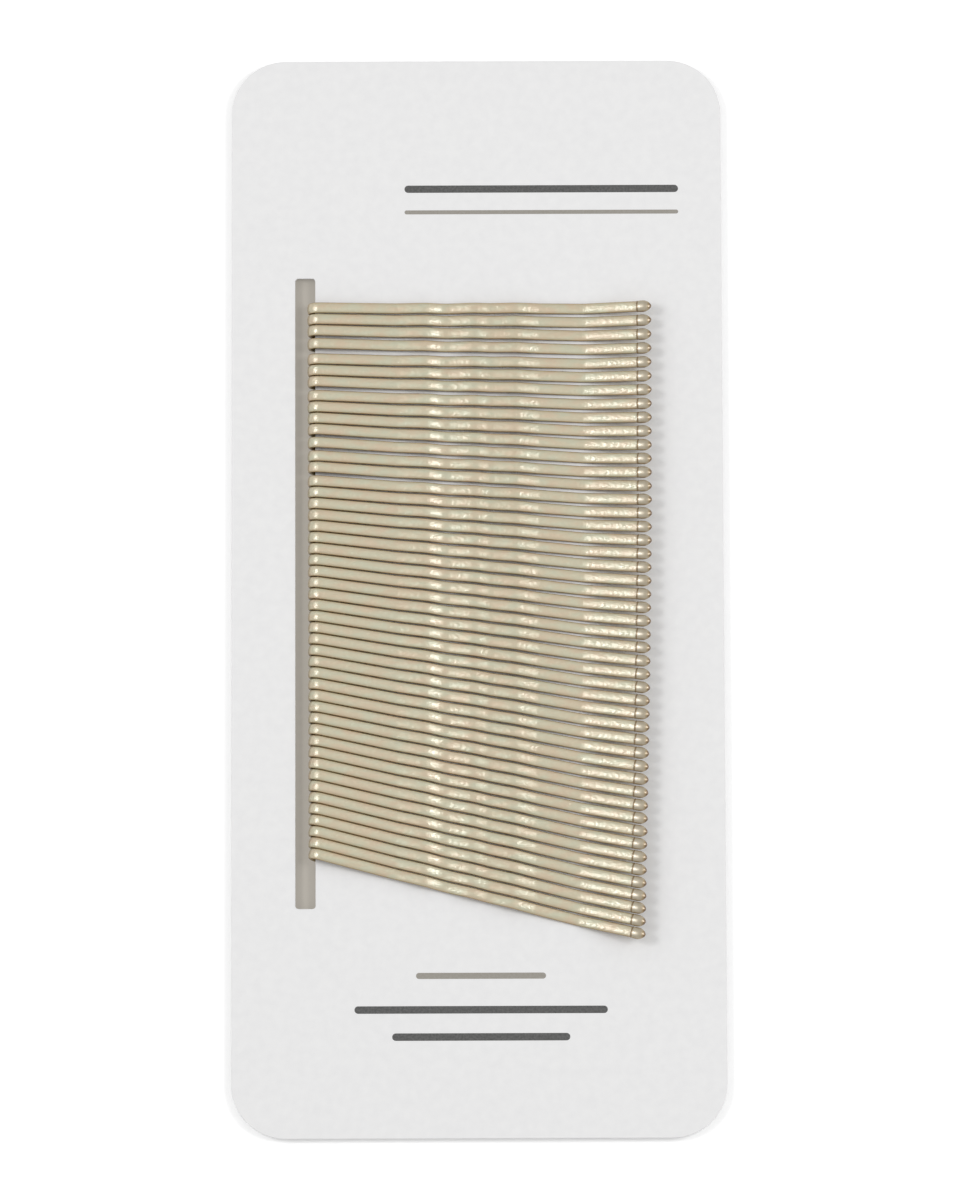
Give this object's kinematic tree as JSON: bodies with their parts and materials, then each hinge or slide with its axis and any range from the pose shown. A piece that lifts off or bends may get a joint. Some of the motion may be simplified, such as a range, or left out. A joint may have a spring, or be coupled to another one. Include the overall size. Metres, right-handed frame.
{
  "type": "bobby pins on a slotted card",
  "caption": "Flat-wire hair pins with a crimped leg and beaded tips, pushed over one side of a long slot in a round-cornered card that carries them as a fan.",
  "frame": {"origin": "on the surface that the set lies on, under the middle of the card", "axes": "+Z out of the card's front, which shows the crimped legs; +Y to the card's top; +X to the side that the pins' tips point to"},
  "size_m": [0.0724, 0.1608, 0.0049],
  "materials": {
    "card_board": "smooth uncoated board, light grey white",
    "pin_paint": "satin champagne enamel, beads glossier"
  },
  "bodies": {
    "card": {"card": "card_board"},
    "pin_01": {"pin_01": "pin_paint"},
    "pin_02": {"pin_02": "pin_paint"},
    "pin_03": {"pin_03": "pin_paint"},
    "pin_04": {"pin_04": "pin_paint"},
    "pin_05": {"pin_05": "pin_paint"},
    "pin_06": {"pin_06": "pin_paint"},
    "pin_07": {"pin_07": "pin_paint"},
    "pin_08": {"pin_08": "pin_paint"},
    "pin_09": {"pin_09": "pin_paint"},
    "pin_10": {"pin_10": "pin_paint"},
    "pin_11": {"pin_11": "pin_paint"},
    "pin_12": {"pin_12": "pin_paint"},
    "pin_13": {"pin_13": "pin_paint"},
    "pin_14": {"pin_14": "pin_paint"},
    "pin_15": {"pin_15": "pin_paint"},
    "pin_16": {"pin_16": "pin_paint"},
    "pin_17": {"pin_17": "pin_paint"},
    "pin_18": {"pin_18": "pin_paint"},
    "pin_19": {"pin_19": "pin_paint"},
    "pin_20": {"pin_20": "pin_paint"},
    "pin_21": {"pin_21": "pin_paint"},
    "pin_22": {"pin_22": "pin_paint"},
    "pin_23": {"pin_23": "pin_paint"},
    "pin_24": {"pin_24": "pin_paint"},
    "pin_25": {"pin_25": "pin_paint"},
    "pin_26": {"pin_26": "pin_paint"},
    "pin_27": {"pin_27": "pin_paint"},
    "pin_28": {"pin_28": "pin_paint"},
    "pin_29": {"pin_29": "pin_paint"},
    "pin_30": {"pin_30": "pin_paint"},
    "pin_31": {"pin_31": "pin_paint"},
    "pin_32": {"pin_32": "pin_paint"},
    "pin_33": {"pin_33": "pin_paint"},
    "pin_34": {"pin_34": "pin_paint"},
    "pin_35": {"pin_35": "pin_paint"},
    "pin_36": {"pin_36": "pin_paint"},
    "pin_37": {"pin_37": "pin_paint"},
    "pin_38": {"pin_38": "pin_paint"},
    "pin_39": {"pin_39": "pin_paint"},
    "pin_40": {"pin_40": "pin_paint"},
    "pin_41": {"pin_41": "pin_paint"},
    "pin_42": {"pin_42": "pin_paint"},
    "pin_43": {"pin_43": "pin_paint"},
    "pin_44": {"pin_44": "pin_paint"},
    "pin_45": {"pin_45": "pin_paint"},
    "pin_46": {"pin_46": "pin_paint"},
    "pin_47": {"pin_47": "pin_paint"},
    "pin_48": {"pin_48": "pin_paint"},
    "leg_39": {"leg_39": "pin_paint"},
    "leg_40": {"leg_40": "pin_paint"},
    "leg_41": {"leg_41": "pin_paint"},
    "leg_42": {"leg_42": "pin_paint"},
    "leg_43": {"leg_43": "pin_paint"},
    "leg_44": {"leg_44": "pin_paint"},
    "leg_45": {"leg_45": "pin_paint"},
    "leg_46": {"leg_46": "pin_paint"},
    "leg_47": {"leg_47": "pin_paint"},
    "leg_48": {"leg_48": "pin_paint"}
  },
  "joints": [
    {"name": "pin_01_off_card", "type": "slide", "parent": "card", "child": "pin_01", "axis": [-1, 0.0026, 0], "range_m": [0, 0.0017]},
    {"name": "pin_02_off_card", "type": "slide", "parent": "card", "child": "pin_02", "axis": [-0.9999, 0.0112, 0], "range_m": [0, 0.0017]},
    {"name": "pin_03_off_card", "type": "slide", "parent": "card", "child": "pin_03", "axis": [-0.9998, 0.0197, 0], "range_m": [0, 0.0017]},
    {"name": "pin_04_off_card", "type": "slide", "parent": "card", "child": "pin_04", "axis": [-0.9997, 0.0225, 0], "range_m": [0, 0.0017]},
    {"name": "pin_05_off_card", "type": "slide", "parent": "card", "child": "pin_05", "axis": [-0.9998, 0.0177, 0], "range_m": [0, 0.0017]},
    {"name": "pin_06_off_card", "type": "slide", "parent": "card", "child": "pin_06", "axis": [-0.9997, 0.0259, 0], "range_m": [0, 0.0017]},
    {"name": "pin_07_off_card", "type": "slide", "parent": "card", "child": "pin_07", "axis": [-0.9994, 0.034, 0], "range_m": [0, 0.0017]},
    {"name": "pin_08_off_card", "type": "slide", "parent": "card", "child": "pin_08", "axis": [-0.9995, 0.033, 0], "range_m": [0, 0.0017]},
    {"name": "pin_09_off_card", "type": "slide", "parent": "card", "child": "pin_09", "axis": [-0.9992, 0.0409, 0], "range_m": [0, 0.0017]},
    {"name": "pin_10_off_card", "type": "slide", "parent": "card", "child": "pin_10", "axis": [-0.9988, 0.0487, 0], "range_m": [0, 0.0017]},
    {"name": "pin_11_off_card", "type": "slide", "parent": "card", "child": "pin_11", "axis": [-0.9984, 0.0563, 0], "range_m": [0, 0.0017]},
    {"name": "pin_12_off_card", "type": "slide", "parent": "card", "child": "pin_12", "axis": [-0.9983, 0.0583, 0], "range_m": [0, 0.0017]},
    {"name": "pin_13_off_card", "type": "slide", "parent": "card", "child": "pin_13", "axis": [-0.9983, 0.0589, 0], "range_m": [0, 0.0017]},
    {"name": "pin_14_off_card", "type": "slide", "parent": "card", "child": "pin_14", "axis": [-0.9978, 0.0663, 0], "range_m": [0, 0.0017]},
    {"name": "pin_15_off_card", "type": "slide", "parent": "card", "child": "pin_15", "axis": [-0.9978, 0.0658, 0], "range_m": [0, 0.0017]},
    {"name": "pin_16_off_card", "type": "slide", "parent": "card", "child": "pin_16", "axis": [-0.9973, 0.073, 0], "range_m": [0, 0.0017]},
    {"name": "pin_17_off_card", "type": "slide", "parent": "card", "child": "pin_17", "axis": [-0.9968, 0.08, 0], "range_m": [0, 0.0017]},
    {"name": "pin_18_off_card", "type": "slide", "parent": "card", "child": "pin_18", "axis": [-0.9962, 0.087, 0], "range_m": [0, 0.0017]},
    {"name": "pin_19_off_card", "type": "slide", "parent": "card", "child": "pin_19", "axis": [-0.9956, 0.0939, 0], "range_m": [0, 0.0017]},
    {"name": "pin_20_off_card", "type": "slide", "parent": "card", "child": "pin_20", "axis": [-0.9949, 0.1006, 0], "range_m": [0, 0.0017]},
    {"name": "pin_21_off_card", "type": "slide", "parent": "card", "child": "pin_21", "axis": [-0.9942, 0.1073, 0], "range_m": [0, 0.0017]},
    {"name": "pin_22_off_card", "type": "slide", "parent": "card", "child": "pin_22", "axis": [-0.9935, 0.1138, 0], "range_m": [0, 0.0017]},
    {"name": "pin_23_off_card", "type": "slide", "parent": "card", "child": "pin_23", "axis": [-0.9927, 0.1203, 0], "range_m": [0, 0.0017]},
    {"name": "pin_24_off_card", "type": "slide", "parent": "card", "child": "pin_24", "axis": [-0.9919, 0.1266, 0], "range_m": [0, 0.0017]},
    {"name": "pin_25_off_card", "type": "slide", "parent": "card", "child": "pin_25", "axis": [-0.9911, 0.1329, 0], "range_m": [0, 0.0017]},
    {"name": "pin_26_off_card", "type": "slide", "parent": "card", "child": "pin_26", "axis": [-0.9903, 0.139, 0], "range_m": [0, 0.0017]},
    {"name": "pin_27_off_card", "type": "slide", "parent": "card", "child": "pin_27", "axis": [-0.9894, 0.1451, 0], "range_m": [0, 0.0017]},
    {"name": "pin_28_off_card", "type": "slide", "parent": "card", "child": "pin_28", "axis": [-0.9885, 0.151, 0], "range_m": [0, 0.0017]},
    {"name": "pin_29_off_card", "type": "slide", "parent": "card", "child": "pin_29", "axis": [-0.9876, 0.1569, 0], "range_m": [0, 0.0017]},
    {"name": "pin_30_off_card", "type": "slide", "parent": "card", "child": "pin_30", "axis": [-0.9867, 0.1626, 0], "range_m": [0, 0.0017]},
    {"name": "pin_31_off_card", "type": "slide", "parent": "card", "child": "pin_31", "axis": [-0.9857, 0.1682, 0], "range_m": [0, 0.0017]},
    {"name": "pin_32_off_card", "type": "slide", "parent": "card", "child": "pin_32", "axis": [-0.9848, 0.1738, 0], "range_m": [0, 0.0017]},
    {"name": "pin_33_off_card", "type": "slide", "parent": "card", "child": "pin_33", "axis": [-0.9838, 0.1792, 0], "range_m": [0, 0.0017]},
    {"name": "pin_34_off_card", "type": "slide", "parent": "card", "child": "pin_34", "axis": [-0.9828, 0.1845, 0], "range_m": [0, 0.0017]},
    {"name": "pin_35_off_card", "type": "slide", "parent": "card", "child": "pin_35", "axis": [-0.9818, 0.1897, 0], "range_m": [0, 0.0017]},
    {"name": "pin_36_off_card", "type": "slide", "parent": "card", "child": "pin_36", "axis": [-0.9808, 0.1948, 0], "range_m": [0, 0.0017]},
    {"name": "pin_37_off_card", "type": "slide", "parent": "card", "child": "pin_37", "axis": [-0.9798, 0.1998, 0], "range_m": [0, 0.0017]},
    {"name": "pin_38_off_card", "type": "slide", "parent": "card", "child": "pin_38", "axis": [-0.9788, 0.2048, 0], "range_m": [0, 0.0017]},
    {"name": "pin_39_off_card", "type": "slide", "parent": "card", "child": "pin_39", "axis": [-0.9778, 0.2096, 0], "range_m": [0, 0.0017]},
    {"name": "pin_40_off_card", "type": "slide", "parent": "card", "child": "pin_40", "axis": [-0.9768, 0.2143, 0], "range_m": [0, 0.0017]},
    {"name": "pin_41_off_card", "type": "slide", "parent": "card", "child": "pin_41", "axis": [-0.9758, 0.2189, 0], "range_m": [0, 0.0017]},
    {"name": "pin_42_off_card", "type": "slide", "parent": "card", "child": "pin_42", "axis": [-0.9747, 0.2234, 0], "range_m": [0, 0.0017]},
    {"name": "pin_43_off_card", "type": "slide", "parent": "card", "child": "pin_43", "axis": [-0.9737, 0.2278, 0], "range_m": [0, 0.0017]},
    {"name": "pin_44_off_card", "type": "slide", "parent": "card", "child": "pin_44", "axis": [-0.9727, 0.2321, 0], "range_m": [0, 0.0017]},
    {"name": "pin_45_off_card", "type": "slide", "parent": "card", "child": "pin_45", "axis": [-0.9717, 0.2363, 0], "range_m": [0, 0.0017]},
    {"name": "pin_46_off_card", "type": "slide", "parent": "card", "child": "pin_46", "axis": [-0.9707, 0.2403, 0], "range_m": [0, 0.0017]},
    {"name": "pin_47_off_card", "type": "slide", "parent": "card", "child": "pin_47", "axis": [-0.9697, 0.2443, 0], "range_m": [0, 0.0017]},
    {"name": "pin_48_off_card", "type": "slide", "parent": "card", "child": "pin_48", "axis": [-0.9687, 0.2482, 0], "range_m": [0, 0.0017]},
    {"name": "leg_39_opens", "type": "hinge", "parent": "pin_39", "child": "leg_39", "pos_m": [-0.02305, -0.02366, 0.0035], "axis": [-0.2096, -0.9778, 0], "range_deg": [0, 8], "stiffness_Nm_per_rad": 0.05},
    {"name": "leg_40_opens", "type": "hinge", "parent": "pin_40", "child": "leg_40", "pos_m": [-0.02305, -0.02534, 0.0035], "axis": [-0.2143, -0.9768, 0], "range_deg": [0, 8], "stiffness_Nm_per_rad": 0.05},
    {"name": "leg_41_opens", "type": "hinge", "parent": "pin_41", "child": "leg_41", "pos_m": [-0.02305, -0.02703, 0.0035], "axis": [-0.2189, -0.9758, 0], "range_deg": [0, 8], "stiffness_Nm_per_rad": 0.05},
    {"name": "leg_42_opens", "type": "hinge", "parent": "pin_42", "child": "leg_42", "pos_m": [-0.02305, -0.02871, 0.0035], "axis": [-0.2234, -0.9747, 0], "range_deg": [0, 8], "stiffness_Nm_per_rad": 0.05},
    {"name": "leg_43_opens", "type": "hinge", "parent": "pin_43", "child": "leg_43", "pos_m": [-0.02305, -0.0304, 0.0035], "axis": [-0.2278, -0.9737, 0], "range_deg": [0, 8], "stiffness_Nm_per_rad": 0.05},
    {"name": "leg_44_opens", "type": "hinge", "parent": "pin_44", "child": "leg_44", "pos_m": [-0.02305, -0.03208, 0.0035], "axis": [-0.2321, -0.9727, 0], "range_deg": [0, 8], "stiffness_Nm_per_rad": 0.05},
    {"name": "leg_45_opens", "type": "hinge", "parent": "pin_45", "child": "leg_45", "pos_m": [-0.02304, -0.03377, 0.0035], "axis": [-0.2363, -0.9717, 0], "range_deg": [0, 8], "stiffness_Nm_per_rad": 0.05},
    {"name": "leg_46_opens", "type": "hinge", "parent": "pin_46", "child": "leg_46", "pos_m": [-0.02304, -0.03545, 0.0035], "axis": [-0.2403, -0.9707, 0], "range_deg": [0, 8], "stiffness_Nm_per_rad": 0.05},
    {"name": "leg_47_opens", "type": "hinge", "parent": "pin_47", "child": "leg_47", "pos_m": [-0.02304, -0.03714, 0.0035], "axis": [-0.2443, -0.9697, 0], "range_deg": [0, 8], "stiffness_Nm_per_rad": 0.05},
    {"name": "leg_48_opens", "type": "hinge", "parent": "pin_48", "child": "leg_48", "pos_m": [-0.02304, -0.03882, 0.0035], "axis": [-0.2482, -0.9687, 0], "range_deg": [0, 8], "stiffness_Nm_per_rad": 0.05}
  ]
}
